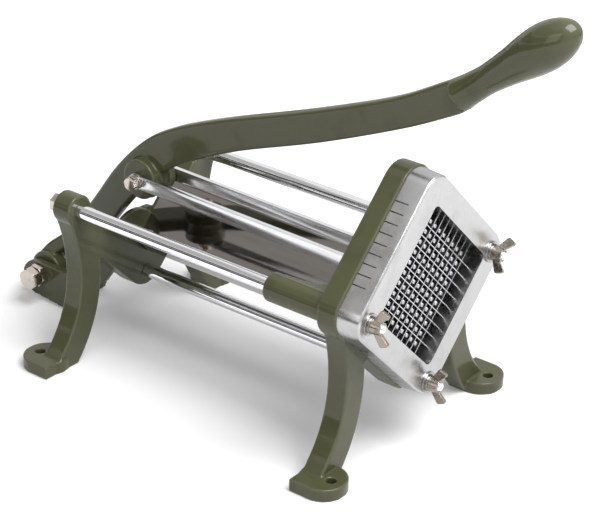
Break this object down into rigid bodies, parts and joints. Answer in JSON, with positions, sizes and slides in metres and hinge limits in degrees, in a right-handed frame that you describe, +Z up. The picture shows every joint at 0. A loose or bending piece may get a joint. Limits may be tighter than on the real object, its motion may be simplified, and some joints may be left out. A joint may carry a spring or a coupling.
{
  "type": "french fry cutter",
  "caption": "Lever-operated potato chip cutter: a hand lever pulls a pin pusher along a V tray and forces the potato through a square blade grid.",
  "frame": {"origin": "on the table, in the middle of the four foot holes", "axes": "+X towards the cutting head, +Z up, +Y to the right of someone facing the head"},
  "size_m": [0.5728, 0.2678, 0.4078],
  "materials": {
    "enamel": "gloss olive enamel on cast metal",
    "chrome": "bright chrome plate",
    "nickel": "warm nickel plate",
    "washer_steel": "zinc plate",
    "stainless": "polished stainless sheet",
    "blade_steel": "ground stainless",
    "alloy": "machined and satin polished aluminium"
  },
  "bodies": {
    "frame": {"front_frame": "enamel", "rear_frame": "enamel", "tray": "stainless", "tray_screws": "nickel", "guide_rod_left": "chrome", "guide_rod_right": "chrome", "tie_rod_bottom": "chrome", "rod_bolts": "nickel", "blade_holder": "alloy", "blades_level_set": "blade_steel", "blades_cross_set": "blade_steel", "flat_washers": "washer_steel", "spring_washers": "washer_steel", "hinge_bolt": "nickel", "hinge_jam_nut": "nickel"},
    "lever": {"lever": "enamel", "link_bolt": "nickel", "link_bolt_washers": "washer_steel", "link_bolt_nuts": "nickel"},
    "links": {"link_left": "chrome", "link_right": "chrome", "link_pin": "chrome", "link_pin_clips": "washer_steel"},
    "pusher": {"pusher_carriage": "enamel", "pusher_block": "alloy", "block_screws": "nickel"},
    "wing_nut_left": {"wing_nut_left": "nickel"},
    "wing_nut_right": {"wing_nut_right": "nickel"},
    "wing_nut_bottom": {"wing_nut_bottom": "nickel"}
  },
  "joints": [
    {"name": "lever_hinge", "type": "hinge", "parent": "frame", "child": "lever", "pos_m": [-0.25, 0, 0.028], "axis": [0, -1, 0], "range_deg": [0, 75]},
    {"name": "link_hinge", "type": "hinge", "parent": "lever", "child": "links", "pos_m": [-0.133, 0, 0.156], "axis": [0, -1, 0], "range_deg": [-79.3, 0.05]},
    {"name": "pusher_slide", "type": "slide", "parent": "frame", "child": "pusher", "axis": [1, 0, 0], "range_m": [-0.21149, 0.0002]},
    {"name": "wing_nut_left_turn", "type": "hinge", "parent": "frame", "child": "wing_nut_left", "pos_m": [0.1828, -0.0849, 0.1488], "axis": [1, 0, 0], "continuous": true},
    {"name": "wing_nut_right_turn", "type": "hinge", "parent": "frame", "child": "wing_nut_right", "pos_m": [0.1828, 0.0849, 0.1488], "axis": [1, 0, 0], "continuous": true},
    {"name": "wing_nut_bottom_turn", "type": "hinge", "parent": "frame", "child": "wing_nut_bottom", "pos_m": [0.1828, 0, 0.0589], "axis": [1, 0, 0], "continuous": true}
  ],
  "couplings": [
    {"joint": "link_hinge", "follows": "lever_hinge", "ratio": -1.0567},
    {"joint": "pusher_slide", "follows": "lever_hinge", "m_per_rad": -0.16141}
  ]
}
